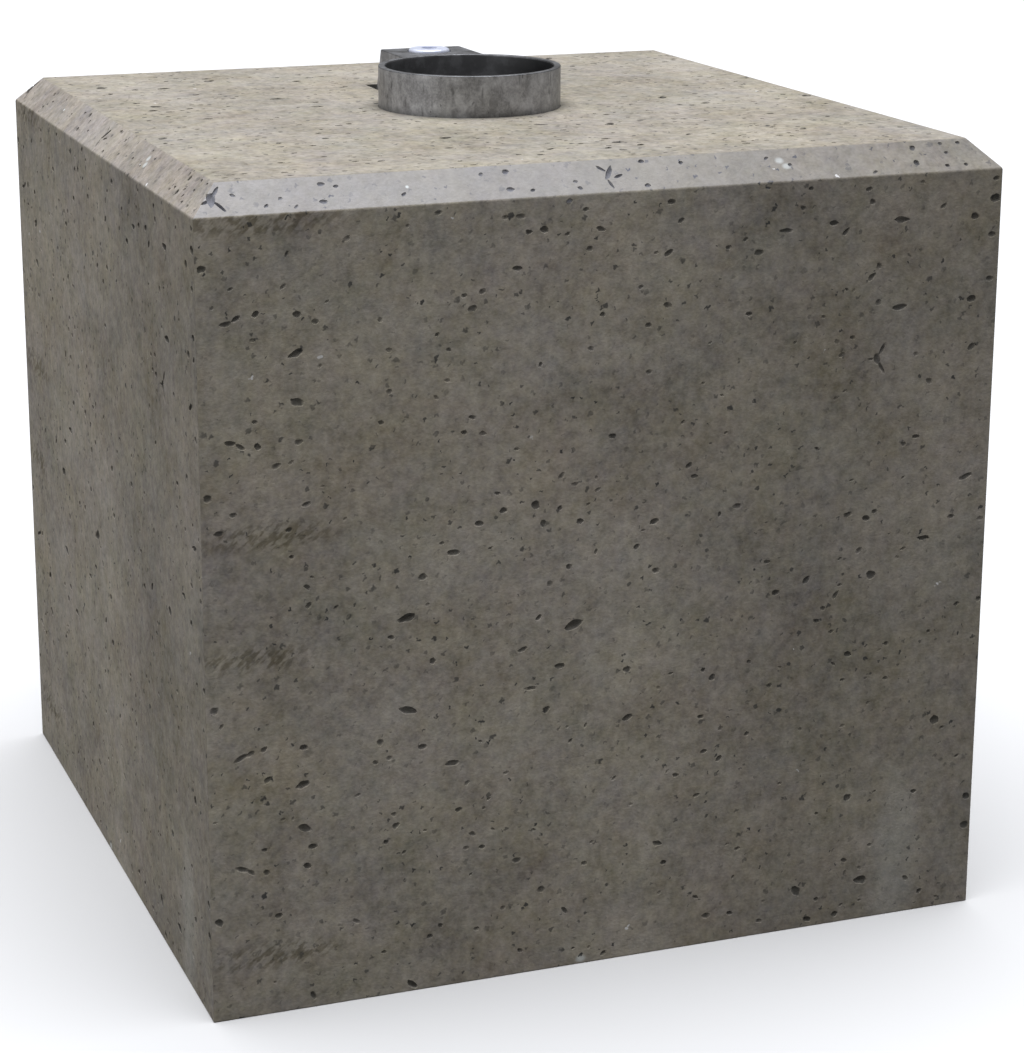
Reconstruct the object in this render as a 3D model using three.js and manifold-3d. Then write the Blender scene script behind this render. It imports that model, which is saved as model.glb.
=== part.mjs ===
// A precast concrete foundation for a round sign post. It is three separate pieces: the cast block, the steel
// post socket that is cast into it, with a lug on its back for the clamping bolt, and the bolt itself.
// Millimetres, +Z up. The origin is the centre of the underside, on the axis of the socket. The block's front
// faces -Y, and the lug is behind the socket, towards +Y.
import * as THREE from "three";
import { mergeVertices } from "three/addons/utils/BufferGeometryUtils.js";
import Module from "manifold-3d";

// Concrete block: a square prism whose four top edges are chamfered at 45 degrees.
const BLOCK_WIDTH = 590;
const BLOCK_HEIGHT = 582;
const BLOCK_CHAMFER = 20;

// Post socket: a round tube with a closed bottom, standing proud of the concrete.
const TUBE_DIAMETER = 139.7;
const TUBE_WALL = 5;
const TUBE_FLOOR = 5;
const TUBE_RISE = 31;
const TUBE_EMBEDDED = 450;

// Lug: a drafted block on the back of the tube, its top level with the tube's rim. Backs are measured from
// the tube's axis. Below the concrete's surface its sides go straight down to its foot.
const LUG_TOP_WIDTH = 67;
const LUG_BASE_WIDTH = 72;
const LUG_TOP_BACK = 117;
const LUG_BASE_BACK = 120.5;
const LUG_EMBEDDED = 40;

// Pocket: the recess left in the concrete round the lug, open at the top.
const POCKET_SIDE_GAP = 3;
const POCKET_BACK_GAP = 20;

// Clamping bolt: a low round head with a hexagon socket, sunk in a counterbore in the top of the lug.
const BOLT_FROM_AXIS = 94;
const HEAD_DIAMETER = 32.6;
const HEAD_FLAT_DIAMETER = 27.6;
const HEAD_HEIGHT = 9;
const HEAD_RISE = 2.4;
const SHANK_DIAMETER = 20;
const SHANK_LENGTH = 45;
const KEY_WIDTH = 12;
const KEY_DEPTH = 6;
const COUNTERBORE_DIAMETER = 34.6;
const HOLE_SPARE_DEPTH = 4;

// Touching pieces keep this much clearance, and a cutting shape runs this far past the face that it opens.
const CLEARANCE = 0.3;
const CUT_PAST = 10;

// Facets of the round shapes.
const TUBE_SIDES = 72;
const BOLT_SIDES = 48;
const DOME_STEPS = 4;

const tubeRadius = TUBE_DIAMETER / 2;
const boreRadius = tubeRadius - TUBE_WALL;
const topZ = BLOCK_HEIGHT;
const rimZ = topZ + TUBE_RISE;
const tubeBottomZ = topZ - TUBE_EMBEDDED;
const lugFootZ = topZ - LUG_EMBEDDED;
const headTopZ = rimZ + HEAD_RISE;
const headSeatZ = headTopZ - HEAD_HEIGHT;
const shankEndZ = headSeatZ - SHANK_LENGTH;

const wasm = await Module();
wasm.setup();

// A closed geometry as a solid. Its vertices are merged, and the flat triangles at a pole are left out.
function solidFrom(geometry) {
  const bare = geometry.clone();
  bare.deleteAttribute("normal");
  bare.deleteAttribute("uv");
  const merged = mergeVertices(bare);
  const index = merged.index.array;
  const kept = [];
  for (let i = 0; i < index.length; i += 3) {
    const [a, b, c] = [index[i], index[i + 1], index[i + 2]];
    if (a !== b && b !== c && a !== c) kept.push(a, b, c);
  }
  const vertProperties = merged.attributes.position.array;
  const triVerts = Uint32Array.from(kept);
  return new wasm.Manifold(new wasm.Mesh({ numProp: 3, vertProperties, triVerts }));
}

// A solid as a named mesh with its own material.
function pieceFrom(name, solid, look) {
  const { vertProperties, triVerts } = solid.getMesh();
  const indexed = new THREE.BufferGeometry();
  indexed.setAttribute("position", new THREE.BufferAttribute(vertProperties, 3));
  indexed.setIndex(new THREE.BufferAttribute(triVerts, 1));
  const geometry = indexed.toNonIndexed();
  geometry.computeVertexNormals();
  const mesh = new THREE.Mesh(geometry, new THREE.MeshStandardMaterial(look));
  mesh.name = name;
  return mesh;
}

// A profile of [radius, height] points, from the axis at the bottom to the axis at the top, turned about Z.
function turned(profile, sides, startAngle = 0) {
  const points = profile.map(([radius, height]) => new THREE.Vector2(radius, height));
  const lathe = new THREE.LatheGeometry(points, sides, startAngle);
  return solidFrom(lathe.rotateX(Math.PI / 2));
}

function cylinder(radius, bottomZ, cylinderTopZ, sides) {
  const profile = [[0, bottomZ], [radius, bottomZ], [radius, cylinderTopZ], [0, cylinderTopZ]];
  return turned(profile, sides);
}

function box(width, frontY, backY, bottomZ, boxTopZ) {
  const geometry = new THREE.BoxGeometry(width, backY - frontY, boxTopZ - bottomZ);
  return solidFrom(geometry.translate(0, (frontY + backY) / 2, (bottomZ + boxTopZ) / 2));
}

// A flat outline swept from -reach to +reach along the third direction of a right-handed set.
function swept(outline, across, up, reach) {
  const shape = new THREE.Shape(outline.map(([a, b]) => new THREE.Vector2(a, b)));
  const geometry = new THREE.ExtrudeGeometry(shape, { depth: 2 * reach, bevelEnabled: false });
  geometry.translate(0, 0, -reach);
  const through = new THREE.Vector3().crossVectors(across, up);
  return solidFrom(geometry.applyMatrix4(new THREE.Matrix4().makeBasis(across, up, through)));
}

function concreteBlock() {
  const corner = (BLOCK_WIDTH / 2) * Math.SQRT2;
  const topCorner = (BLOCK_WIDTH / 2 - BLOCK_CHAMFER) * Math.SQRT2;
  const profile = [[0, 0], [corner, 0], [corner, topZ - BLOCK_CHAMFER], [topCorner, topZ], [0, topZ]];
  const body = turned(profile, 4, Math.PI / 4);
  const tubeHole = cylinder(tubeRadius + CLEARANCE, tubeBottomZ - CLEARANCE, topZ + CUT_PAST, TUBE_SIDES);
  const pocketWidth = LUG_BASE_WIDTH + 2 * POCKET_SIDE_GAP;
  const pocketBack = LUG_BASE_BACK + POCKET_BACK_GAP;
  const pocket = box(pocketWidth, 0, pocketBack, lugFootZ - CLEARANCE, topZ + CUT_PAST);
  return body.subtract(tubeHole).subtract(pocket);
}

// The lug is what its side outline and its back outline have in common.
function lug() {
  const sideOutline = [
    [0, lugFootZ],
    [LUG_BASE_BACK, lugFootZ],
    [LUG_BASE_BACK, topZ],
    [LUG_TOP_BACK, rimZ],
    [0, rimZ],
  ];
  const backOutline = [
    [-LUG_BASE_WIDTH / 2, lugFootZ],
    [LUG_BASE_WIDTH / 2, lugFootZ],
    [LUG_BASE_WIDTH / 2, topZ],
    [LUG_TOP_WIDTH / 2, rimZ],
    [-LUG_TOP_WIDTH / 2, rimZ],
    [-LUG_BASE_WIDTH / 2, topZ],
  ];
  const x = new THREE.Vector3(1, 0, 0);
  const y = new THREE.Vector3(0, 1, 0);
  const z = new THREE.Vector3(0, 0, 1);
  const sides = swept(sideOutline, y, z, LUG_BASE_WIDTH);
  const backs = swept(backOutline, x, z, 2 * LUG_BASE_BACK);
  const boltHoleEndZ = shankEndZ - HOLE_SPARE_DEPTH;
  const boltHole = cylinder(SHANK_DIAMETER / 2 + CLEARANCE, boltHoleEndZ, rimZ + CUT_PAST, BOLT_SIDES);
  const counterbore = cylinder(
    COUNTERBORE_DIAMETER / 2,
    headSeatZ - CLEARANCE,
    rimZ + CUT_PAST,
    BOLT_SIDES,
  );
  const wallMiddle = cylinder(tubeRadius - TUBE_WALL / 2, lugFootZ - CUT_PAST, rimZ + CUT_PAST, TUBE_SIDES);
  return sides
    .intersect(backs)
    .subtract(boltHole.add(counterbore).translate([0, BOLT_FROM_AXIS, 0]))
    .subtract(wallMiddle);
}

function postSocket() {
  const floorZ = tubeBottomZ + TUBE_FLOOR;
  const tube = turned(
    [
      [0, tubeBottomZ],
      [tubeRadius, tubeBottomZ],
      [tubeRadius, rimZ],
      [boreRadius, rimZ],
      [boreRadius, floorZ],
      [0, floorZ],
    ],
    TUBE_SIDES,
  );
  return tube.add(lug());
}

// The head's edge is straight up to the lug's top, then curves in to its flat top.
function clampingBolt() {
  const headRadius = HEAD_DIAMETER / 2;
  const flatRadius = HEAD_FLAT_DIAMETER / 2;
  const profile = [
    [0, shankEndZ],
    [SHANK_DIAMETER / 2, shankEndZ],
    [SHANK_DIAMETER / 2, headSeatZ],
    [headRadius, headSeatZ],
  ];
  for (let i = 0; i <= DOME_STEPS; i++) {
    const angle = ((i / DOME_STEPS) * Math.PI) / 2;
    profile.push([
      flatRadius + (headRadius - flatRadius) * Math.cos(angle),
      rimZ + HEAD_RISE * Math.sin(angle),
    ]);
  }
  profile.push([0, headTopZ]);
  const keyRadius = KEY_WIDTH / 2 / Math.cos(Math.PI / 6);
  const keySocket = cylinder(keyRadius, headTopZ - KEY_DEPTH, headTopZ + CUT_PAST, 6);
  return turned(profile, BOLT_SIDES).subtract(keySocket).translate([0, BOLT_FROM_AXIS, 0]);
}

const foundation = new THREE.Group();
foundation.add(
  pieceFrom("concrete_block", concreteBlock(), { color: 0x8a8578, roughness: 0.95, metalness: 0 }),
  pieceFrom("post_socket", postSocket(), { color: 0x6f6d6a, roughness: 0.6, metalness: 0.7 }),
  pieceFrom("clamping_bolt", clampingBolt(), { color: 0xdfe3ee, roughness: 0.3, metalness: 0.9 }),
);

export default foundation;
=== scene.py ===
"""A precast concrete sign post foundation: a cast block, the steel post socket set in it, and the bright
clamping bolt in the socket's lug. Metres, +Z up, the origin at the centre of the underside."""

import math
import random

import bmesh
import bpy
from mathutils import Matrix, Vector, noise


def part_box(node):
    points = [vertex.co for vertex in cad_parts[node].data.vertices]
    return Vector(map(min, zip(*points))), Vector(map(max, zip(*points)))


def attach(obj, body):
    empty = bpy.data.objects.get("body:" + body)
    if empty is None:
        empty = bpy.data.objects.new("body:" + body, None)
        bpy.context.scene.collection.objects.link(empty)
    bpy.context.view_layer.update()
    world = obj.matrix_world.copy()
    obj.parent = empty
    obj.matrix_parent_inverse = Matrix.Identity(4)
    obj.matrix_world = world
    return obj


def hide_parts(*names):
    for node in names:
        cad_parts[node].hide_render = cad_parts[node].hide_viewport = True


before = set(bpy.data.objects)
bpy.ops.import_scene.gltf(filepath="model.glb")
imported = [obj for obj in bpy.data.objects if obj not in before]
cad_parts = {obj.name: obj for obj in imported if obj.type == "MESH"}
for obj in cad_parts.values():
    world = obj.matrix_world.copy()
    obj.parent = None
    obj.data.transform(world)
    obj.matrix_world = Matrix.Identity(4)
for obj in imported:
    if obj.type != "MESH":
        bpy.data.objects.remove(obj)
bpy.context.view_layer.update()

MM = 0.001

# Sizes that the frame gives.
block_low, block_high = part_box("concrete_block")
socket_low, socket_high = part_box("post_socket")
bolt_low, bolt_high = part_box("clamping_bolt")
HALF_BLOCK = block_high.x
TOP = block_high.z
RIM = socket_high.z
TUBE_RADIUS = socket_high.x
TUBE_FOOT = socket_low.z
HEAD_TOP = bolt_high.z
BOLT_Y = (bolt_low.y + bolt_high.y) / 2
HEAD_RADIUS = bolt_high.x
SHANK_END = bolt_low.z

# Sizes of the concrete block. The pocket is the recess round the lug, and the gap is the clearance between
# pieces that touch.
CHAMFER = 20 * MM
ARRIS = 1.0 * MM
GAP = 0.3 * MM
POCKET_SIDE = 39 * MM
POCKET_BACK = 140.5 * MM
LUG_DEPTH = 40 * MM

# Sizes of the post socket. The lug is given by its half width and by its back's distance from the axis.
TUBE_WALL = 5 * MM
TUBE_FLOOR = 5 * MM
LUG_TOP_SIDE = 33.5 * MM
LUG_BASE_SIDE = 36 * MM
LUG_TOP_BACK = 117 * MM
LUG_BASE_BACK = 120.5 * MM
LUG_CORNER = 2.2 * MM
EDGE_ROUND = 0.7 * MM
COUNTERBORE_RADIUS = 17.3 * MM
HOLE_SPARE_DEPTH = 4 * MM

# Sizes of the clamping bolt.
SHANK_RADIUS = 10 * MM
SHANK_CHAMFER = 1 * MM
HEAD_FLAT_RADIUS = 13.8 * MM
HEAD_HEIGHT = 9 * MM
KEY_WIDTH = 12 * MM
KEY_DEPTH = 6 * MM

# How finely the round shapes are made, the turn in degrees from which an edge is sharp, and the length
# under which an edge is taken away after a cut.
TUBE_SIDES = 192
BOLT_SIDES = 96
SHOULDER_STEPS = 10
BLOCK_SHARP_DEGREES = 24
STEEL_SHARP_DEGREES = 35
MERGE = 0.002 * MM

# Colours, as linear values. The films multiply the concrete's own colour; on the front chamfer they also
# paint light at its left and shade towards its right.
CONCRETE = (0.256, 0.232, 0.192)
HOLE_DARK = (0.030, 0.031, 0.031)
CHAMFER_HOLE_COLOUR = (0.115, 0.122, 0.152)
SMUDGE = (0.55, 0.53, 0.47)
PALE_PATCH = (0.62, 0.66, 0.66)
PALE_SPECK = (0.62, 0.62, 0.62)
FILM_LIT_LEFT = (1.30, 1.38, 1.62)
FILM_SHADED_RIGHT = (0.88, 0.895, 0.945)
FILM_SIDES = (1.07, 1.06, 1.12)
STEEL = (0.53, 0.535, 0.555)
DARK_STEEL = (0.25, 0.252, 0.262)
BORE_STEEL = (0.27, 0.275, 0.29)
RIM_SHADE = (0.44, 0.44, 0.44)
ZINC = (0.53, 0.565, 0.69)
BLACK = (0.0, 0.0, 0.0)
WHITE = (1.0, 1.0, 1.0)

# The studio's light: each lamp's colour, strength and width in degrees, and the light from all around. The
# floor is shown paler than the light that it throws back.
OVERHEAD_COLOUR = (0.935, 0.953, 1.0)
OVERHEAD_STRENGTH = 5.2
OVERHEAD_SPREAD = 70
LEFT_COLOUR = (1.0, 1.0, 1.0)
LEFT_STRENGTH = 0.68
LEFT_SPREAD = 60
AROUND_LIGHT = (0.245, 0.24, 0.23)
FLOOR_GREY = 0.15
FLOOR_SHOWN = 0.62

# The concrete's mottling, from fine to broad: cells a metre, how much it changes the lightness and the
# yellowness, and the detail of its noise. One of the layers, counted from 0, also says where the small air
# holes crowd.
MOTTLING = (
    (420, 0.27, 0.026, 0),
    (170, 0.38, 0.034, 0),
    (62, 0.42, 0.06, 1),
    (22, 0.39, 0.07, 1),
    (8, 0.30, 0.04, 0),
)
CROWDING_LAYER = 3

# What the three parts of the mottling add to red, green and blue: lighter, yellower and greener.
MOTTLING_TINTS = ((1, 1, 1), (-0.5, -1, -3), (-0.3, 0.3, -0.3))

# Air holes too small to model, and the pits in the steel: cells a metre, least and greatest radius, the
# share of the cells that have one, least and greatest darkness, and where the rim fades, as shares of the
# radius. A few cells have a pale grain instead.
SOFT_RIM = (1.15, 0.55)
FINE_HOLES = (95, (0.65 * MM, 1.5 * MM), 0.9, (0.35, 0.95), SOFT_RIM)
MIDDLE_HOLES = (55, (0.8 * MM, 2.2 * MM), 0.95, (0.35, 0.9), SOFT_RIM)
FAINT_MARKS = (27, (1.6 * MM, 4.0 * MM), 0.5, (0.06, 0.3), (1.2, 0.2))
STEEL_PITS = (110, (0.5 * MM, 1.7 * MM), 0.5, (0.1, 0.6), SOFT_RIM)
PALE_SHARE = 0.006

# How the marks on the concrete lean to the right as they go up, as a turn of the pattern, and how far off
# the top's part of the pattern lies, in metres.
LEAN = (0, 0, -0.7)
TOP_PATTERN_SHIFT = 2.0

# The largest air holes of the front face and the left one, as seen: across from the left edge, down from
# the top edge, length and breadth, all in millimetres, and the tilt in degrees. The last four form a star.
FRONT_HOLES = (
    (5, 33, 7, 6, 20), (20, 70, 9, 4, 5), (40, 65, 7, 5, 45), (68, 67, 7, 5, 0), (67, 93, 11, 6, 25),
    (38, 82, 5, 3.5, 0), (103, 19, 6, 4, 30), (166, 6, 6, 4, 10), (184, 63, 5.5, 4, 15),
    (197, 61, 6, 4.5, 20), (190, 72, 7, 5, 10), (125, 75, 4.5, 4, 0), (131, 96, 5, 4, 0),
    (131, 124, 5, 4, 0), (165, 88, 4.5, 3.5, 40), (164, 131, 5, 3.5, -40), (173, 99, 4.5, 3.5, 0),
    (172, 120, 5, 3.5, 0), (213, 12, 5, 4, 0), (230, 23, 6, 4, 0), (241, 22, 7, 6, 0), (222, 47, 8, 5, 0),
    (259, 4, 6, 5, 45), (271, 10, 5, 3.5, 10), (258, 26, 5, 3.5, 15), (274, 37, 6, 4.5, 10),
    (284, 83, 5, 4, 0), (67, 126, 11, 6, -20), (38, 137, 5, 3.5, 0), (21, 150, 9, 4, -10),
    (40, 154, 6, 5, -40), (68, 153, 7, 5, 0), (5, 186, 7, 6, -30), (125, 145, 5, 4, -10),
    (190, 147, 6, 4, -15), (184, 157, 5.5, 4, -10), (197, 159, 6, 4, -10), (255, 194, 7, 4, 45),
    (265, 201, 6, 3.5, 0), (236, 213, 7, 7, 0), (254, 217, 5, 4, 30), (208, 202, 5, 3.5, 0),
    (269, 228, 6, 5, 0), (72, 254, 6, 4, -40), (73, 267, 6, 4.5, 40), (154, 256, 7, 6, 0),
    (176, 241, 10, 5, 0), (247, 271, 5, 5, 0), (341, 22, 6, 3.5, 35), (332, 44, 9, 5, 30),
    (312, 66, 5, 3.5, 30), (332, 80, 7, 5, 0), (318, 93, 6, 4, 0), (377, 43, 5, 4, 10), (400, 48, 8, 5, 0),
    (421, 34, 11, 4, 0), (433, 19, 5, 4, -20), (439, 6, 5, 4, 10), (484, 9, 6, 4, 20), (487, 18, 5, 5, 0),
    (467, 38, 8, 4, 50), (511, 32, 13, 5, 0), (494, 64, 5, 5, 0), (585, 7, 6, 5, 0), (585, 21, 9, 7, 0),
    (583, 47, 7, 5, 0), (583, 79, 7, 5, 0), (569, 33, 7, 6, 0), (569, 93, 8, 6, 0), (511, 95, 13, 5, 5),
    (463, 116, 5, 4, 0), (475, 114, 5, 4, 0), (467, 126, 6, 4, 15), (526, 130, 5, 4, 0),
    (571, 128, 9, 5, 35), (319, 126, 6, 4, 0), (450, 193, 5, 3.5, -30), (529, 191, 7, 4, 0),
    (355, 204, 6, 4, 0), (389, 229, 8, 5, 0), (325, 234, 8, 5, 30), (571, 225, 13, 4, 15),
    (561, 254, 7, 4, 0), (539, 268, 10, 4, 0), (327, 270, 7, 5, 0), (585, 258, 6, 4, 0),
    (413, 273, 6, 4, 0), (142, 284, 14, 6, 15), (143, 351, 14, 6, -15), (265, 303, 14, 7, 20),
    (161, 317, 5, 6, 0), (255, 332, 8, 5, 0), (6, 334, 7, 6, 20), (233, 346, 10, 4, 0),
    (24, 370, 12, 4, 25), (40, 366, 6, 5, 40), (68, 368, 7, 5, 0), (67, 395, 11, 6, 20),
    (129, 384, 5, 4, 0), (153, 379, 8, 5, 0), (175, 394, 11, 5, 0), (68, 427, 11, 6, -20),
    (132, 426, 5, 4, 0), (126, 446, 4, 4, 0), (39, 439, 5, 3.5, 0), (23, 451, 11, 4, -20),
    (40, 456, 6, 5, -40), (69, 455, 7, 5, -10), (190, 449, 6, 4, -10), (185, 459, 5, 4, 0),
    (197, 460, 6, 4, 0), (223, 474, 8, 5, 0), (6, 488, 7, 6, -40), (242, 499, 7, 6, 0),
    (275, 484, 5, 4, 0), (104, 502, 7, 4, -30), (213, 509, 5, 4, 0), (260, 518, 7, 4, -55),
    (166, 515, 5, 4, -20), (158, 522, 5, 4, 0), (193, 522, 5, 4, 0), (226, 544, 5, 4, -20),
    (72, 553, 8, 4, -60), (145, 557, 10, 5, -40), (421, 297, 7, 5, 0), (445, 290, 9, 5, 50),
    (497, 292, 9, 7, 0), (459, 313, 5, 4, -20), (454, 322, 5, 4, -20), (306, 341, 7, 6, 0),
    (512, 346, 5, 4, 0), (512, 373, 5, 4, 0), (307, 377, 9, 5, 25), (418, 367, 5, 4, 0),
    (364, 384, 6, 4, 0), (587, 320, 5, 5, 0), (569, 322, 5, 4, 10), (380, 395, 5, 4, 40),
    (367, 411, 6, 4, 10), (379, 418, 7, 4, 50), (555, 411, 8, 8, 0), (485, 463, 8, 6, 0),
    (540, 466, 6, 4, 0), (332, 477, 8, 5, -20), (585, 476, 7, 6, -50), (585, 499, 8, 7, 0),
    (484, 513, 6, 4, -20), (505, 504, 5, 4, 0), (445, 532, 10, 7, -50), (498, 531, 12, 7, -10),
    (497, 521, 4, 4, 0), (536, 535, 6, 4, -50), (372, 540, 8, 5, 0), (391, 541, 6, 4, -10),
    (462, 541, 5, 4, -20), (415, 551, 6, 4, 0), (455, 556, 8, 5, -20), (363, 524, 5, 3.5, -20),
    (27, 67, 8, 4, 35), (28, 153, 8, 4, -35), (30, 368, 8, 4, 35), (29, 454, 8, 4, -35),
    (495, 131, 9, 6, 90), (499, 124, 11, 3, 60), (499, 138, 11, 3, -60), (491, 131, 8, 2.5, 0),
)

# The same for the marks on the chamfers of both, down the slope. The first five form a star.
CHAMFER_HOLES = (
    (15, 14, 12, 6, 80), (19, 8, 11, 2.8, 55), (20, 20, 13, 2.5, -52), (12, 9, 7, 3, -50),
    (11, 16, 8, 3, 20), (90, 7, 6, 4, 0), (89, 21, 6, 4, 0), (219, 6, 6, 4.5, 0), (219, 20.4, 6, 4.5, 0),
    (292, 12, 13, 3.5, 60), (287, 8, 8, 2.5, -40), (298, 15, 8, 2.5, 20), (291, 21, 9, 2.5, -70),
    (317, 24, 5, 3.5, 0), (318, 4, 5, 3.5, 0), (525, 6.5, 5, 5, 0), (524, 19, 5, 5, 0), (548, 4, 4, 3, 0),
    (550, 12, 4, 3, 0), (547, 23, 4, 3, 0), (562, 4, 4, 3, 0), (562, 23, 4, 3, 0),
)

# How many air holes are scattered at random on each face, and the greatest size of them. A hole's depth is
# a share of its size, from the least to the greatest: the front, the right and the back have the flat ones.
# A void's middle is lifted off the face by a share of its depth. Holes over the large size have more faces.
SCATTERED = {
    "front": (150, 6 * MM),
    "left": (150, 6 * MM),
    "top": (420, 9 * MM),
    "right": (160, 9 * MM),
    "back": (130, 9 * MM),
}
SCATTERED_ON_CHAMFER = (14, 3.4 * MM)
SMALLEST_HOLE = 3.0 * MM
LARGE_HOLE = 9 * MM
VOID_LIFT = 0.25
VOID_UNEVENNESS = 0.3
FLAT_HOLES = (0.18, 0.34)
DEEP_HOLES = (0.3, 0.55)

# Rows of brownish smudges and paler patches on a side face, in millimetres: across, down, half length and
# half breadth, and for the patches their strength. Those with a negative way down are on the chamfer.
SMUDGE_ROWS = (
    (40, 4, 90, 15), (45, 216, 70, 14), (35, 301, 60, 14), (45, 518, 70, 14),
)
PALE_PATCHES = (
    (527, 520, 26, 95, 0.10), (273, 558, 5, 4, 0.5), (148, -15, 1.6, 1.6, 0.9), (420, -18, 4.5, 3.5, 0.5),
    (424, -13, 4.5, 3.5, 0.5),
)


def set_camera():
    """The photograph's own viewpoint, solved from the block's edges."""
    image_width, image_height = 1024, 1053
    focal_pixels = 2743.3
    centre_x, centre_y = 470.0, 444.4
    turn, tilt = math.radians(19.99), math.radians(15.02)
    sensor_width = 36
    data = bpy.data.cameras.new("photo_camera")
    data.sensor_width = sensor_width
    data.lens = sensor_width * focal_pixels / image_height
    data.shift_x = (image_width / 2 - centre_x) / image_height
    data.shift_y = (centre_y - image_height / 2) / image_height
    data.clip_end = 100
    camera = bpy.data.objects.new("photo_camera", data)
    camera.location = (-0.7185, -1.9764, 0.8764)
    camera.rotation_euler = (math.pi / 2 - tilt, 0, -turn)
    bpy.context.scene.collection.objects.link(camera)
    bpy.context.scene.camera = camera


class Nodes:
    """A short way to write a node tree. Every method but put adds one node, and all but add return what
    that node gives."""

    def __init__(self, tree):
        self.tree = tree
        tree.nodes.clear()

    def add(self, kind, inputs=None, **settings):
        node = self.tree.nodes.new(kind)
        for name, value in settings.items():
            setattr(node, name, value)
        for name, value in (inputs or {}).items():
            self.put(node.inputs[name], value)
        return node

    def put(self, socket, value):
        if isinstance(value, bpy.types.NodeSocket):
            self.tree.links.new(value, socket)
        elif isinstance(value, tuple) and len(value) == 3 and len(socket.default_value) == 4:
            socket.default_value = (*value, 1)
        else:
            socket.default_value = value

    def math(self, operation, a, b=0.0):
        return self.add("ShaderNodeMath", {0: a, 1: b}, operation=operation).outputs[0]

    def vector(self, operation, a, b, c=(0.0, 0.0, 0.0)):
        return self.add("ShaderNodeVectorMath", {0: a, 1: b, 2: c}, operation=operation).outputs["Vector"]

    def scaled(self, direction, amount):
        node = self.add("ShaderNodeVectorMath", {0: direction, "Scale": amount}, operation="SCALE")
        return node.outputs["Vector"]

    def length(self, direction):
        return self.add("ShaderNodeVectorMath", {0: direction}, operation="LENGTH").outputs["Value"]

    def joined(self, x, y, z=0.0):
        return self.add("ShaderNodeCombineXYZ", {0: x, 1: y, 2: z}).outputs[0]

    def axes(self, place):
        node = self.add("ShaderNodeSeparateXYZ", {"Vector": place})
        return tuple(node.outputs[i] for i in range(3))

    def channels(self, colour):
        node = self.add("ShaderNodeSeparateColor", {"Color": colour})
        return tuple(node.outputs[i] for i in range(3))

    def spread(self, value, low, high, to_low=0.0, to_high=1.0, smooth=True):
        """The value's stretch from low to high, spread over to_low to to_high and held there outside it."""
        inputs = {"Value": value, "From Min": low, "From Max": high, "To Min": to_low, "To Max": to_high}
        kind = "SMOOTHSTEP" if smooth else "LINEAR"
        return self.add("ShaderNodeMapRange", inputs, interpolation_type=kind).outputs["Result"]

    def mix(self, share, a, b, blend="MIX"):
        """Two colours mixed. The node's sockets are picked by number, because several share a name."""
        inputs = {0: share, 6: a, 7: b}
        return self.add("ShaderNodeMix", inputs, data_type="RGBA", blend_type=blend).outputs[2]

    def times(self, colour, factor):
        return self.mix(1.0, colour, factor, "MULTIPLY")

    def noise(self, place, per_metre, detail=2.0, roughness=0.5, distortion=0.0, flat=False, output="Fac"):
        inputs = {"Vector": place, "Scale": float(per_metre), "Detail": float(detail)}
        inputs.update({"Roughness": roughness, "Distortion": distortion})
        dimensions = "2D" if flat else "3D"
        return self.add("ShaderNodeTexNoise", inputs, noise_dimensions=dimensions).outputs[output]

    def placed(self, place, turn=(0, 0, 0), scale=(1, 1, 1)):
        inputs = {"Vector": place, "Rotation": turn, "Scale": scale}
        return self.add("ShaderNodeMapping", inputs).outputs[0]

    def bumped(self, height, strength):
        inputs = {"Height": height, "Strength": strength, "Distance": 0.5 * MM}
        return self.add("ShaderNodeBump", inputs).outputs[0]


def surface_material(name):
    material = bpy.data.materials.new(name)
    material.use_nodes = True
    nodes = Nodes(material.node_tree)
    shader = nodes.add("ShaderNodeBsdfPrincipled")
    output = nodes.add("ShaderNodeOutputMaterial")
    nodes.put(output.inputs["Surface"], shader.outputs[0])
    place = nodes.add("ShaderNodeTexCoord").outputs["Object"]
    return material, nodes, shader, place


def pinholes(nodes, flat_place, layer, pale_share=0.0):
    """Round dark air holes in a share of a flat pattern's cells. It gives the darkness inside a hole and 0
    outside, with a soft rim, and the same for pale grains in another share of the cells."""
    per_metre, radii, share, darkness, rim = layer
    inputs = {"Vector": flat_place, "Scale": float(per_metre)}
    cells = nodes.add("ShaderNodeTexVoronoi", inputs, feature="F1", voronoi_dimensions="2D")
    chance, size, tone = nodes.channels(cells.outputs["Color"])
    least, greatest = (radius * per_metre for radius in radii)
    radius = nodes.spread(nodes.math("POWER", size, 1.6), 0, 1, least, greatest, smooth=False)
    inside = nodes.spread(nodes.math("DIVIDE", cells.outputs["Distance"], radius), *rim)
    strength = nodes.math("MULTIPLY", inside, nodes.spread(tone, 0, 1, *darkness, smooth=False))
    holes = nodes.math("MULTIPLY", strength, nodes.math("LESS_THAN", chance, share))
    grains = nodes.math("MULTIPLY", strength, nodes.math("GREATER_THAN", chance, 1 - pale_share))
    return holes, grains


def spot(nodes, flat, across, down, half_length, half_breadth):
    """1 in the middle of an oval on a side face, falling softly to 0 at its edge. Sizes in millimetres."""
    centre = (across * MM - HALF_BLOCK, TOP - CHAMFER - down * MM)
    radii = (half_length * MM, half_breadth * MM)
    scale = (1 / radii[0], 1 / radii[1], 0)
    shift = (-centre[0] / radii[0], -centre[1] / radii[1], 0)
    distance = nodes.length(nodes.vector("MULTIPLY_ADD", flat, scale, shift))
    return nodes.spread(distance, 1.0, 0.3)


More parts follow.
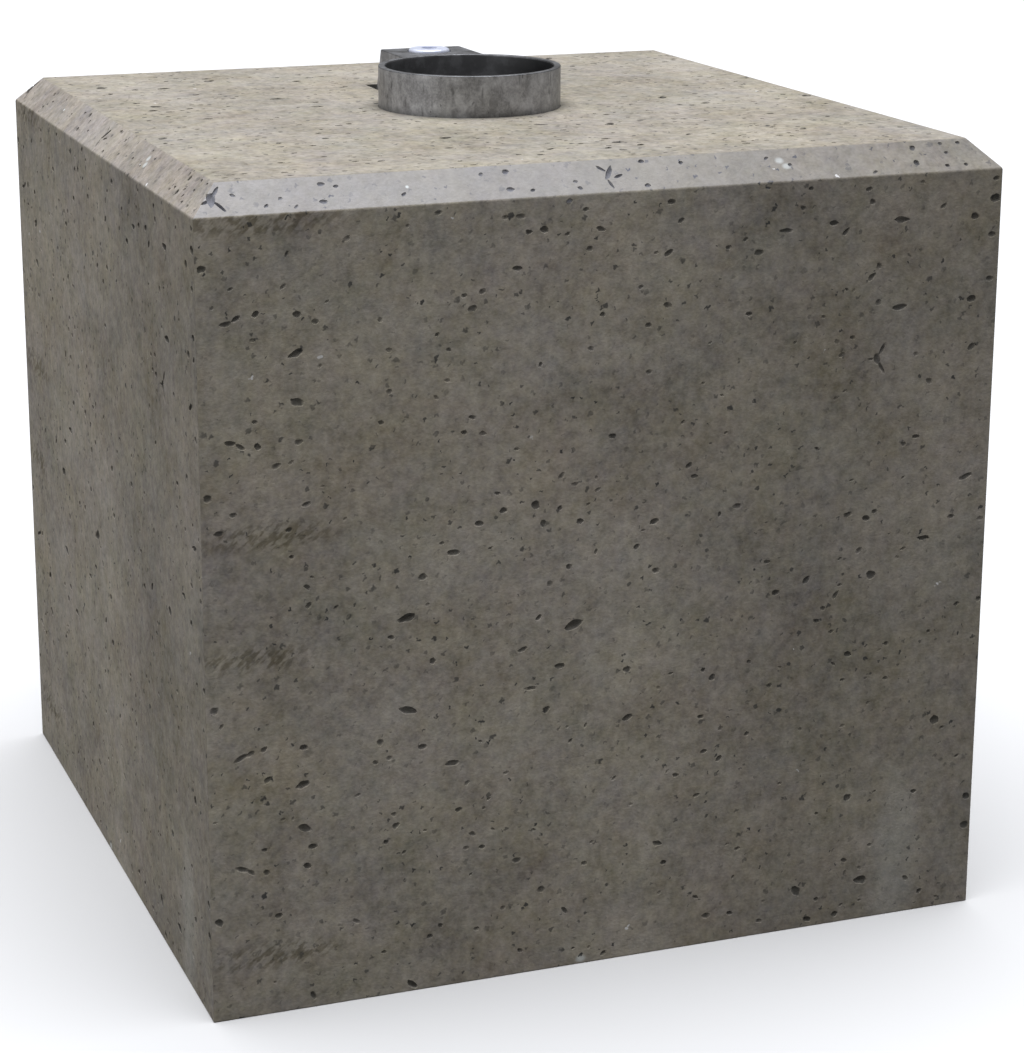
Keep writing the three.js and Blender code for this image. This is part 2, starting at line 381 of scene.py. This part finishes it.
def mottling(nodes, flat):
    """Changes of lightness, yellowness and greenness at several sizes, as one factor for each colour
    channel, and the noise of each size. What is yellower is also a little darker."""
    swings = tuple(-0.5 * sum(layer[i] for layer in MOTTLING) for i in (1, 2, 2))
    clouds = []
    for step, (per_metre, light, yellow, detail) in enumerate(MOTTLING):
        moved = nodes.vector("ADD", flat, (step * 1.7, step * 0.9, 0))
        cloud = nodes.noise(moved, per_metre, detail, flat=True, output="Color")
        swings = nodes.vector("MULTIPLY_ADD", cloud, (light, yellow, yellow), swings)
        clouds.append(cloud)
    total = WHITE
    for tint, swing in zip(MOTTLING_TINTS, nodes.axes(swings)):
        total = nodes.vector("ADD", total, nodes.scaled(tint, swing))
    return total, clouds


class BlockPlace:
    """Where a point of the block lies: its coordinates, how far it is under the sides, the top and the
    chamfers, whether it is nearest a side that faces along X, and whether it is on the top, as 1 or 0."""

    def __init__(self, nodes, place):
        self.x, self.y, self.z = nodes.axes(place)
        wide_x = nodes.math("ABSOLUTE", self.x)
        wide_y = nodes.math("ABSOLUTE", self.y)
        widest = nodes.math("MAXIMUM", wide_x, wide_y)
        self.faces_x = nodes.math("GREATER_THAN", wide_x, wide_y)
        self.under_side = nodes.math("SUBTRACT", HALF_BLOCK, widest)
        self.under_top = nodes.math("SUBTRACT", TOP, self.z)
        slope = nodes.math("SUBTRACT", HALF_BLOCK + TOP - CHAMFER, nodes.math("ADD", widest, self.z))
        self.under_chamfer = nodes.math("MULTIPLY", slope, math.sqrt(0.5))
        self.on_top = nodes.math("GREATER_THAN", self.under_side, CHAMFER - 0.1 * MM)


def flat_pattern(nodes, at):
    """Two coordinates laid flat over each face, across it as seen and up it, and the first one by itself.
    The side faces and their chamfers share one pattern, and the top has a part of its own far off."""
    along_y = nodes.math("MULTIPLY", at.y, nodes.math("SIGN", at.x))
    along_x = nodes.math("MULTIPLY", at.x, nodes.math("MULTIPLY", nodes.math("SIGN", at.y), -1.0))
    along = nodes.add("ShaderNodeMix", {0: at.faces_x, 2: along_x, 3: along_y}).outputs[0]
    slope_rise = nodes.math("MULTIPLY", at.under_side, math.sqrt(2) - 1)
    sides = nodes.joined(along, nodes.math("ADD", at.z, slope_rise))
    top_across = nodes.math("ADD", at.x, TOP_PATTERN_SHIFT)
    top = nodes.joined(top_across, nodes.math("ADD", at.y, TOP_PATTERN_SHIFT))
    return nodes.mix(at.on_top, sides, top), along


def chamfer_shares(nodes, at):
    """1 on the chamfers and 0 elsewhere, 1 on the front side of the block, and how much of the front
    chamfer's calm look a point has, which is most at its left."""
    fade_start, fade_end = 0.2 * MM, 0.8 * MM
    deepest_mark = 4 * MM
    below_top = nodes.spread(at.under_top, fade_start, fade_end)
    behind_side = nodes.spread(at.under_side, fade_start, fade_end)
    near_slope = nodes.math("LESS_THAN", at.under_chamfer, deepest_mark)
    on_chamfer = nodes.math("MULTIPLY", nodes.math("MULTIPLY", below_top, behind_side), near_slope)
    faces_y = nodes.math("SUBTRACT", 1.0, at.faces_x)
    front = nodes.math("MULTIPLY", nodes.math("LESS_THAN", at.y, 0.0), faces_y)
    on_front_chamfer = nodes.math("MULTIPLY", on_chamfer, front)
    calm = nodes.math("MULTIPLY", on_front_chamfer, nodes.spread(at.x, 0.28, 0.0, 0.35, 1))
    return on_chamfer, front, calm


def shade_ends(nodes, at, along, beside, colour):
    """Each side face is a little darker towards its right-hand end, and at its foot."""
    right_end = nodes.math("MULTIPLY", nodes.spread(along, -0.06, 0.2), beside)
    foot = nodes.math("MULTIPLY", nodes.spread(at.z, 0.16, 0.0), 0.2)
    shaded = nodes.math("MULTIPLY", nodes.math("MAXIMUM", right_end, foot), 0.19)
    return nodes.mix(shaded, colour, BLACK)


def chamfer_film_and_light(nodes, at, on_chamfer, front, colour):
    """A pale bluish film on the chamfers, with painted light on the front one: lightest and bluest at its
    left, painted shade towards its right.
    """
    front_film_and_light = nodes.mix(nodes.spread(at.x, -0.20, 0.27, smooth=False), FILM_LIT_LEFT, FILM_SHADED_RIGHT)
    film_and_light = nodes.mix(front, FILM_SIDES, front_film_and_light)
    return nodes.mix(on_chamfer, colour, nodes.times(colour, film_and_light))


def smudges(nodes, flat, beside, colour):
    """Rows of brownish smudges, drawn out along the lean, at the left of each side face."""
    drawn_out = nodes.placed(nodes.placed(flat, turn=LEAN), scale=(0.4, 1, 1))
    smear = nodes.noise(drawn_out, 190, 2, 0.65, flat=True)
    smudged = 0.0
    for row in SMUDGE_ROWS:
        smudged = nodes.math("MAXIMUM", smudged, spot(nodes, flat, *row))
    smudged = nodes.math("MULTIPLY", nodes.math("MULTIPLY", smudged, beside), 0.95)
    smudged = nodes.math("MULTIPLY", smudged, nodes.spread(smear, 0.42, 0.62))
    return nodes.mix(smudged, colour, nodes.times(colour, SMUDGE))


def pale_patches(nodes, flat, colour):
    paler = 0.0
    for *patch, strength in PALE_PATCHES:
        paler = nodes.math("MAXIMUM", paler, nodes.math("MULTIPLY", spot(nodes, flat, *patch), strength))
    return nodes.mix(paler, colour, PALE_PATCH)


def small_air_holes(nodes, flat, clouds, hole_colour, colour):
    """Air holes and marks too small to model, and a few pale grains. The pattern wanders with the finest
    mottling and leans to the right as it goes up, and the holes crowd in some areas."""
    wander = (3.2 * MM, 3.2 * MM, 0)
    moved = nodes.vector("MULTIPLY_ADD", clouds[0], wander, flat)
    leaning = nodes.placed(nodes.placed(moved, turn=LEAN), scale=(0.75, 1, 1))
    crowd = nodes.channels(clouds[CROWDING_LAYER])[1]
    fine, grains = pinholes(nodes, leaning, FINE_HOLES, PALE_SHARE)
    middle, _ = pinholes(nodes, leaning, MIDDLE_HOLES)
    faint, _ = pinholes(nodes, leaning, FAINT_MARKS)
    fine = nodes.math("MULTIPLY", fine, nodes.spread(crowd, 0.40, 0.56, 0.4, 1))
    middle = nodes.math("MULTIPLY", middle, nodes.spread(crowd, 0.36, 0.60, 0.4, 1))
    marks = nodes.math("MAXIMUM", nodes.math("MAXIMUM", fine, middle), faint)
    colour = nodes.mix(marks, colour, hole_colour)
    return nodes.mix(grains, colour, PALE_SPECK)


def from_axis(nodes, x, y):
    """How far a point is from the socket's axis."""
    square = nodes.math("ADD", nodes.math("MULTIPLY", x, x), nodes.math("MULTIPLY", y, y))
    return nodes.math("SQRT", square)


def shade_at_socket(nodes, at, colour):
    """Painted shade on the top round the socket's foot, where the tube meets the concrete."""
    distance = from_axis(nodes, at.x, at.y)
    near = nodes.spread(distance, TUBE_RADIUS + 10 * MM, TUBE_RADIUS - 2 * MM)
    share = nodes.math("MULTIPLY", nodes.math("MULTIPLY", near, at.on_top), 0.4)
    return nodes.mix(share, colour, HOLE_DARK)


def shade_in_holes(nodes, at, hole_colour, colour):
    """Painted shade in the modelled holes, darker by how deep a point lies under the block's outer faces.
    """
    under_edge = nodes.math("MINIMUM", at.under_side, at.under_top)
    depth = nodes.math("MINIMUM", under_edge, nodes.math("MINIMUM", at.under_chamfer, at.z))
    return nodes.mix(nodes.spread(depth, 0.04 * MM, 0.9 * MM, 0, 0.72), colour, hole_colour)


def concrete_material():
    material, nodes, shader, place = surface_material("cast_concrete")
    at = BlockPlace(nodes, place)
    flat, along = flat_pattern(nodes, at)
    factors, clouds = mottling(nodes, flat)
    on_chamfer, front, calm = chamfer_shares(nodes, at)
    # The colour of the holes: the small ones painted as marks, and the painted shade inside the modelled
    # ones.
    hole_colour = nodes.mix(calm, HOLE_DARK, CHAMFER_HOLE_COLOUR)
    factors = nodes.mix(nodes.math("MULTIPLY", calm, 0.6), factors, WHITE)
    beside = nodes.spread(at.under_top, CHAMFER * 0.95, CHAMFER, smooth=False)
    colour = nodes.times(CONCRETE, factors)
    colour = shade_ends(nodes, at, along, beside, colour)
    colour = chamfer_film_and_light(nodes, at, on_chamfer, front, colour)
    colour = smudges(nodes, flat, beside, colour)
    colour = pale_patches(nodes, flat, colour)
    colour = small_air_holes(nodes, flat, clouds, hole_colour, colour)
    colour = shade_at_socket(nodes, at, colour)
    colour = shade_in_holes(nodes, at, hole_colour, colour)
    nodes.put(shader.inputs["Base Color"], colour)
    shader.inputs["Roughness"].default_value = 0.92
    shader.inputs["Specular IOR Level"].default_value = 0.3
    grain = nodes.noise(flat, 480, 1, 0.6, flat=True)
    nodes.put(shader.inputs["Normal"], nodes.bumped(grain, 0.35))
    return material


def steel_pits(nodes, place, x, y, z):
    """Small upright pits on the tube's unrolled surface."""
    round_tube = nodes.math("MULTIPLY", nodes.math("ARCTAN2", x, y), TUBE_RADIUS)
    wobble = nodes.noise(place, 260, 1, output="Color")
    wander = (3 * MM, 3 * MM, 3 * MM)
    moved = nodes.vector("MULTIPLY_ADD", wobble, wander, nodes.joined(round_tube, z))
    pits, _ = pinholes(nodes, nodes.placed(moved, scale=(1, 0.45, 1)), STEEL_PITS)
    return pits


def shaded_bore(nodes, x, y, z, worn, colour):
    """The bore is darker as painted shade inside the tube, more so at its right and at both ends as seen.
    """
    bore = nodes.mix(nodes.spread(worn, 0.2, 0.8), nodes.scaled(BORE_STEEL, 0.8), BORE_STEEL)
    bore = nodes.mix(nodes.spread(x, -0.01, 0.06, 0, 0.4), bore, HOLE_DARK)
    at_ends = nodes.spread(nodes.math("ABSOLUTE", x), 0.035, 0.064, 0, 0.6)
    bore = nodes.mix(at_ends, bore, HOLE_DARK)
    inner = TUBE_RADIUS - TUBE_WALL
    inside = nodes.math("LESS_THAN", from_axis(nodes, x, y), inner + 0.3 * MM)
    below_rim = nodes.spread(z, RIM - 0.6 * MM, RIM - 1.6 * MM)
    return nodes.mix(nodes.math("MULTIPLY", inside, below_rim), colour, bore)


def steel_material():
    material, nodes, shader, place = surface_material("weathered_steel")
    x, y, z = nodes.axes(place)
    streaks = nodes.noise(nodes.placed(place, scale=(1, 1, 0.7)), 130, 4, 0.72, 0.5)
    grain = nodes.noise(place, 620, 2, 0.7)
    blotches = nodes.noise(place, 46, 4, 0.6, 0.6)
    pits = steel_pits(nodes, place, x, y, z)
    worn = nodes.math("MULTIPLY", nodes.spread(streaks, 0.36, 0.66), 0.5)
    worn = nodes.math("ADD", worn, nodes.math("MULTIPLY", nodes.spread(blotches, 0.36, 0.64), 0.5))
    speckle = nodes.spread(grain, 0.25, 0.75, -0.22, 0.22, smooth=False)
    worn = nodes.add("ShaderNodeMath", {0: worn, 1: speckle}, operation="ADD", use_clamp=True).outputs[0]
    colour = nodes.mix(worn, DARK_STEEL, STEEL)
    colour = nodes.mix(nodes.math("MULTIPLY", pits, 0.85), colour, HOLE_DARK)

    # Dark runs down the tube, painted shade at its foot where it meets the concrete, and a rim painted
    # darker as shade that damps its highlight.
    runs = nodes.noise(nodes.placed(place, scale=(1, 1, 0.16)), 210, 2, 0.5)
    runs = nodes.math("MULTIPLY", nodes.spread(runs, 0.62, 0.72), 0.4)
    colour = nodes.mix(runs, colour, HOLE_DARK)
    at_foot = nodes.spread(z, TOP + 9 * MM, TOP - 1 * MM, 0, 0.45)
    colour = nodes.mix(at_foot, colour, HOLE_DARK)
    # Painted shade on the rim, which damps the highlight that its rounded edge catches.
    on_rim = nodes.spread(z, RIM - 0.9 * MM, RIM - 0.3 * MM)
    colour = nodes.mix(on_rim, colour, nodes.times(colour, RIM_SHADE))
    colour = shaded_bore(nodes, x, y, z, worn, colour)
    nodes.put(shader.inputs["Base Color"], colour)
    shader.inputs["Metallic"].default_value = 1.0
    nodes.put(shader.inputs["Roughness"], nodes.spread(blotches, 0.3, 0.7, 0.42, 0.56))
    height = nodes.math("SUBTRACT", nodes.math("MULTIPLY", streaks, 0.5), nodes.math("MULTIPLY", pits, 0.5))
    nodes.put(shader.inputs["Normal"], nodes.bumped(height, 0.3))
    return material


def zinc_material():
    material, nodes, shader, place = surface_material("bright_zinc")
    cloud = nodes.noise(place, 260, 3, 0.5)
    nodes.put(shader.inputs["Base Color"], nodes.mix(nodes.spread(cloud, 0.3, 0.7, 0, 0.2), ZINC, WHITE))
    shader.inputs["Metallic"].default_value = 0.3
    nodes.put(shader.inputs["Roughness"], nodes.spread(cloud, 0.3, 0.7, 0.3, 0.42))
    return material


def new_object(name, bm):
    mesh = bpy.data.meshes.new(name)
    bm.to_mesh(mesh)
    bm.free()
    piece = bpy.data.objects.new(name, mesh)
    bpy.context.scene.collection.objects.link(piece)
    return piece


def bake_modifiers(piece):
    bpy.context.view_layer.update()
    shaped = piece.evaluated_get(bpy.context.evaluated_depsgraph_get())
    mesh = bpy.data.meshes.new_from_object(shaped)
    piece.modifiers.clear()
    piece.data = mesh


def cut(piece, tool, operation="DIFFERENCE"):
    """Cuts the tool from the piece, or joins it on, and takes the tool away."""
    step = piece.modifiers.new("cut", "BOOLEAN")
    step.operation = operation
    step.solver = "MANIFOLD"
    step.object = tool
    bake_modifiers(piece)
    bpy.data.objects.remove(tool)


def drop_slivers(piece):
    """Takes away the faces without area that a cut leaves."""
    bm = bmesh.new()
    bm.from_mesh(piece.data)
    bmesh.ops.dissolve_degenerate(bm, dist=MERGE, edges=bm.edges[:])
    bm.to_mesh(piece.data)
    bm.free()


def finish_piece(piece, node, material, sharp_degrees):
    """Smooth shading but for edges that turn more than the given angle, one material, and its place in the
    frame."""
    bm = bmesh.new()
    bm.from_mesh(piece.data)
    for face in bm.faces:
        face.smooth = True
    for edge in bm.edges:
        edge.smooth = edge.calc_face_angle(0) < math.radians(sharp_degrees)
    bm.to_mesh(piece.data)
    bm.free()
    piece.data.materials.clear()
    piece.data.materials.append(material)
    even = piece.modifiers.new("even_shading", "WEIGHTED_NORMAL")
    even.keep_sharp = True
    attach(piece, "root")
    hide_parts(node)


def box_bmesh(low, high):
    bm = bmesh.new()
    low, high = Vector(low), Vector(high)
    middle = Matrix.Translation((low + high) / 2)
    bmesh.ops.create_cube(bm, size=1, matrix=middle @ Matrix.Diagonal((*(high - low), 1)))
    return bm


def bevel(bm, edges, width, segments):
    bmesh.ops.bevel(bm, geom=edges, offset=width, offset_type="OFFSET", segments=segments, profile=0.5,
                    affect="EDGES", material=-1, clamp_overlap=True)


def turned_bmesh(profile, sides, centre=(0, 0)):
    """A closed profile of (radius, height) pairs turned about an upright axis."""
    bm = bmesh.new()
    points = [bm.verts.new((centre[0] + radius, centre[1], height)) for radius, height in profile]
    edges = [bm.edges.new(pair) for pair in zip(points, points[1:])]
    bmesh.ops.spin(bm, geom=points + edges, cent=(*centre, 0), axis=(0, 0, 1), dvec=(0, 0, 0),
                   angle=math.tau, steps=sides, use_merge=True)
    bmesh.ops.remove_doubles(bm, verts=bm.verts, dist=0.001 * MM)
    bmesh.ops.recalc_face_normals(bm, faces=bm.faces)
    return bm


def rod(name, radius, low, high, sides, centre=(0, 0)):
    profile = [(0, low), (radius, low), (radius, high), (0, high)]
    return new_object(name, turned_bmesh(profile, sides, centre))


def face_frame(origin, across, up):
    """Places a face's own (across, up, outwards) coordinates in the model."""
    across, up = Vector(across).normalized(), Vector(up).normalized()
    matrix = Matrix((across, up, across.cross(up))).transposed().to_4x4()
    matrix.translation = origin
    return matrix


def block_faces():
    """Each outer face: its placing from its middle, its width and its height."""
    wall = TOP - CHAMFER
    flat = 2 * (HALF_BLOCK - CHAMFER)
    faces = {"top": (face_frame((0, 0, TOP), (1, 0, 0), (0, 1, 0)), flat, flat)}
    for quarter, name in enumerate(("front", "right", "back", "left")):
        turn = Matrix.Rotation(quarter * math.pi / 2, 4, "Z")
        upright = turn @ face_frame((0, -HALF_BLOCK, wall / 2), (1, 0, 0), (0, 0, 1))
        faces[name] = (upright, 2 * HALF_BLOCK, wall)
        middle = (0, -HALF_BLOCK + CHAMFER / 2, TOP - CHAMFER / 2)
        sloped = turn @ face_frame(middle, (1, 0, 0), (0, 1, 1))
        faces[name + "_chamfer"] = (sloped, flat, CHAMFER * math.sqrt(2))
    return faces


def add_void(passes, face, u, v, length, breadth, tilt, depth, draw):
    """One air hole: an ellipsoid with an uneven outline, its middle a little outside the face. It joins the
    first pass in which it touches no other."""
    divisions = 3 if length > LARGE_HOLE else 2
    shape = Matrix.Diagonal((length / 2, breadth / 2, depth, 1))
    place = face @ Matrix.Translation((u, v, VOID_LIFT * depth)) @ Matrix.Rotation(tilt, 4, "Z")
    one = bmesh.new()
    bmesh.ops.create_icosphere(one, subdivisions=divisions, radius=1)
    shift = Vector((draw.uniform(-50, 50), draw.uniform(-50, 50), 0))
    for vert in one.verts:
        vert.co *= 1 + VOID_UNEVENNESS * noise.noise(vert.co * 1.3 + shift)
    bmesh.ops.transform(one, matrix=place @ shape, verts=one.verts)
    mesh = bpy.data.meshes.new("air_hole")
    one.to_mesh(mesh)
    one.free()
    centre, reach = place.translation, 0.7 * length
    for bm, others in passes:
        if all((centre - other).length > reach + far for other, far in others):
            break
    else:
        bm, others = bmesh.new(), []
        passes.append((bm, others))
    bm.from_mesh(mesh)
    others.append((centre, reach))
    bpy.data.meshes.remove(mesh)


def scatter_voids(passes, face, width, height, scattered, draw, taken, keep_out, deep):
    """Air holes at random. Small ones are many and big ones few, and they crowd in some areas."""
    count, biggest = scattered
    tries = count * 30
    size_falloff = 2.9
    crowds_per_metre = 9
    crowd = Vector((draw.uniform(-50, 50), draw.uniform(-50, 50), 0))
    made = 0
    for _ in range(tries):
        if made == count:
            break
        size = min(SMALLEST_HOLE * (1 - draw.random()) ** (-1 / size_falloff), biggest)
        edge = size / 2 + 1.5 * MM
        u = draw.uniform(-width / 2 + edge, width / 2 - edge)
        v = draw.uniform(-height / 2 + edge, height / 2 - edge)
        crowding = noise.noise(Vector((u, v, 0)) * crowds_per_metre + crowd)
        if crowding < draw.uniform(-0.6, 0.25):
            continue
        if keep_out and keep_out(u, v, size):
            continue
        if any((u - a) ** 2 + (v - b) ** 2 < (0.7 * (size + other)) ** 2 for a, b, other in taken):
            continue
        stretch = math.sqrt(draw.uniform(1.1, 2.0))
        tilt = draw.gauss(0.35, 0.45)
        depth = size * draw.uniform(*deep)
        add_void(passes, face, u, v, size * stretch, size / stretch, tilt, depth, draw)
        taken.append((u, v, size * stretch))
        made += 1


def near_socket(u, v, size):
    reach = size + 3 * MM
    if math.hypot(u, v) < TUBE_RADIUS + reach:
        return True
    return abs(u) < POCKET_SIDE + reach and 0 < v < POCKET_BACK + reach


def air_holes():
    """The air holes of all faces, as objects to cut away one after the other."""
    draw = random.Random(7)
    passes = []
    seen = {"front": FRONT_HOLES, "left": FRONT_HOLES}
    seen.update({"front_chamfer": CHAMFER_HOLES, "left_chamfer": CHAMFER_HOLES})
    for name, (face, width, height) in block_faces().items():
        taken = []
        deep = FLAT_HOLES if name in ("front", "right", "back") else DEEP_HOLES
        for across, down, length, breadth, tilt in seen.get(name, ()):
            u, v = across * MM - HALF_BLOCK, height / 2 - down * MM
            size = math.sqrt(length * breadth) * MM
            depth = size * draw.uniform(*deep)
            add_void(passes, face, u, v, length * MM, breadth * MM, math.radians(tilt), depth, draw)
            taken.append((u, v, length * MM))
        scattered = SCATTERED.get(name, SCATTERED_ON_CHAMFER)
        keep_out = near_socket if name == "top" else None
        scatter_voids(passes, face, width, height, scattered, draw, taken, keep_out, deep)
    return [new_object("air_holes", bm) for bm, others in passes]


def concrete_block():
    bm = box_bmesh(block_low, block_high)
    top_edges = [e for e in bm.edges if all(v.co.z > TOP - ARRIS for v in e.verts)]
    bevel(bm, top_edges, CHAMFER, 1)
    bevel(bm, list(bm.edges), ARRIS, 2)
    piece = new_object("cast_block", bm)
    cut(piece, rod("bore", TUBE_RADIUS + GAP, TUBE_FOOT - GAP, TOP + CHAMFER, TUBE_SIDES))
    pocket_low = (-POCKET_SIDE, 0, TOP - LUG_DEPTH - GAP)
    pocket_high = (POCKET_SIDE, POCKET_BACK, TOP + CHAMFER)
    cut(piece, new_object("pocket", box_bmesh(pocket_low, pocket_high)))
    for tool in air_holes():
        cut(piece, tool)
    finish_piece(piece, "concrete_block", concrete_material(), BLOCK_SHARP_DEGREES)


def lug_object():
    """The drafted block behind the tube, its upright back edges rounded."""
    low = (-LUG_BASE_SIDE, 0, TOP - LUG_DEPTH)
    bm = box_bmesh(low, (LUG_BASE_SIDE, LUG_BASE_BACK, RIM))
    bmesh.ops.bisect_plane(bm, geom=bm.verts[:] + bm.edges[:] + bm.faces[:], plane_co=(0, 0, TOP),
                           plane_no=(0, 0, 1))
    for vert in bm.verts:
        if vert.co.z > TOP + MM:
            vert.co.x = math.copysign(LUG_TOP_SIDE, vert.co.x)
            if vert.co.y > MM:
                vert.co.y = LUG_TOP_BACK
    back_corners = [e for e in bm.edges if all(v.co.y > TUBE_RADIUS for v in e.verts)
                    and abs(e.verts[0].co.z - e.verts[1].co.z) > MM]
    bevel(bm, back_corners, LUG_CORNER, 5)
    return new_object("lug", bm)


def bolt_hole():
    """The clearance hole for the shank, with the counterbore for the head over it."""
    seat = HEAD_TOP - HEAD_HEIGHT - GAP
    radius = SHANK_RADIUS + GAP
    foot = SHANK_END - HOLE_SPARE_DEPTH
    mouth = RIM + CHAMFER
    profile = [(0, foot), (radius, foot), (radius, seat), (COUNTERBORE_RADIUS, seat),
               (COUNTERBORE_RADIUS, mouth), (0, mouth)]
    return new_object("bolt_hole", turned_bmesh(profile, BOLT_SIDES, (0, BOLT_Y)))


def post_socket():
    inner = TUBE_RADIUS - TUBE_WALL
    floor = TUBE_FOOT + TUBE_FLOOR
    profile = [(0, TUBE_FOOT), (TUBE_RADIUS, TUBE_FOOT), (TUBE_RADIUS, RIM), (inner, RIM), (inner, floor),
               (0, floor)]
    piece = new_object("steel_socket", turned_bmesh(profile, TUBE_SIDES))
    lug = lug_object()
    cut(lug, rod("bore", TUBE_RADIUS - TUBE_WALL / 2, TUBE_FOOT, RIM + CHAMFER, TUBE_SIDES))
    cut(piece, lug, "UNION")
    cut(piece, bolt_hole())
    rounding = piece.modifiers.new("rounding", "BEVEL")
    rounding.width = EDGE_ROUND
    rounding.segments = 3
    rounding.limit_method = "ANGLE"
    rounding.angle_limit = math.radians(50)
    rounding.harden_normals = False
    bake_modifiers(piece)
    drop_slivers(piece)
    finish_piece(piece, "post_socket", steel_material(), STEEL_SHARP_DEGREES)


def clamping_bolt():
    """The bolt has a low round head: a short straight edge, a rounded shoulder and a flat top with the key
    socket."""
    seat = HEAD_TOP - HEAD_HEIGHT
    shoulder = HEAD_RADIUS - HEAD_FLAT_RADIUS
    rise = HEAD_TOP - RIM
    profile = [(0, SHANK_END), (SHANK_RADIUS - SHANK_CHAMFER, SHANK_END)]
    profile += [(SHANK_RADIUS, SHANK_END + SHANK_CHAMFER), (SHANK_RADIUS, seat), (HEAD_RADIUS, seat)]
    for i in range(SHOULDER_STEPS + 1):
        angle = i / SHOULDER_STEPS * math.pi / 2
        profile.append((HEAD_FLAT_RADIUS + shoulder * math.cos(angle), RIM + rise * math.sin(angle)))
    profile.append((0, HEAD_TOP))
    piece = new_object("bolt", turned_bmesh(profile, BOLT_SIDES, (0, BOLT_Y)))
    corner = KEY_WIDTH / 2 / math.cos(math.pi / 6)
    cut(piece, rod("key", corner, HEAD_TOP - KEY_DEPTH, HEAD_TOP + CHAMFER, 6, (0, BOLT_Y)))
    drop_slivers(piece)
    finish_piece(piece, "clamping_bolt", zinc_material(), STEEL_SHARP_DEGREES)


def soft_lamp(name, towards, strength, colour, spread_degrees):
    """A wide lamp far off in the direction given."""
    lamp = bpy.data.lights.new(name, "SUN")
    lamp.energy = strength
    lamp.color = colour
    lamp.angle = math.radians(spread_degrees)
    holder = bpy.data.objects.new(name, lamp)
    holder.rotation_euler = Vector(towards).to_track_quat("Z", "Y").to_euler()
    bpy.context.scene.collection.objects.link(holder)


def floor_material():
    material = bpy.data.materials.new("pale_floor")
    material.use_nodes = True
    nodes = Nodes(material.node_tree)
    seen = nodes.add("ShaderNodeLightPath").outputs["Is Camera Ray"]
    grey = nodes.spread(seen, 0, 1, FLOOR_GREY, FLOOR_SHOWN, smooth=False)
    colour = nodes.add("ShaderNodeCombineColor", {0: grey, 1: grey, 2: grey}).outputs[0]
    shader = nodes.add("ShaderNodeBsdfDiffuse", {"Color": colour})
    nodes.put(nodes.add("ShaderNodeOutputMaterial").inputs["Surface"], shader.outputs[0])
    return material


def studio():
    """A pale floor under soft light that comes mostly from above, with a little more from the left."""
    bm = bmesh.new()
    floor_radius = 60
    bmesh.ops.create_circle(bm, cap_ends=True, segments=64, radius=floor_radius)
    floor = new_object("floor", bm)
    floor.data.materials.append(floor_material())

    world = bpy.data.worlds.new("studio")
    bpy.context.scene.world = world
    world.use_nodes = True
    nodes = Nodes(world.node_tree)
    background = nodes.add("ShaderNodeBackground", {"Color": AROUND_LIGHT})
    nodes.put(nodes.add("ShaderNodeOutputWorld").inputs["Surface"], background.outputs[0])
    soft_lamp("overhead", (0, 0, 1), OVERHEAD_STRENGTH, OVERHEAD_COLOUR, OVERHEAD_SPREAD)
    soft_lamp("left", (-0.95, -0.05, 0.3), LEFT_STRENGTH, LEFT_COLOUR, LEFT_SPREAD)
    bpy.context.scene.view_settings.view_transform = "Standard"


set_camera()
studio()
concrete_block()
post_socket()
clamping_bolt()
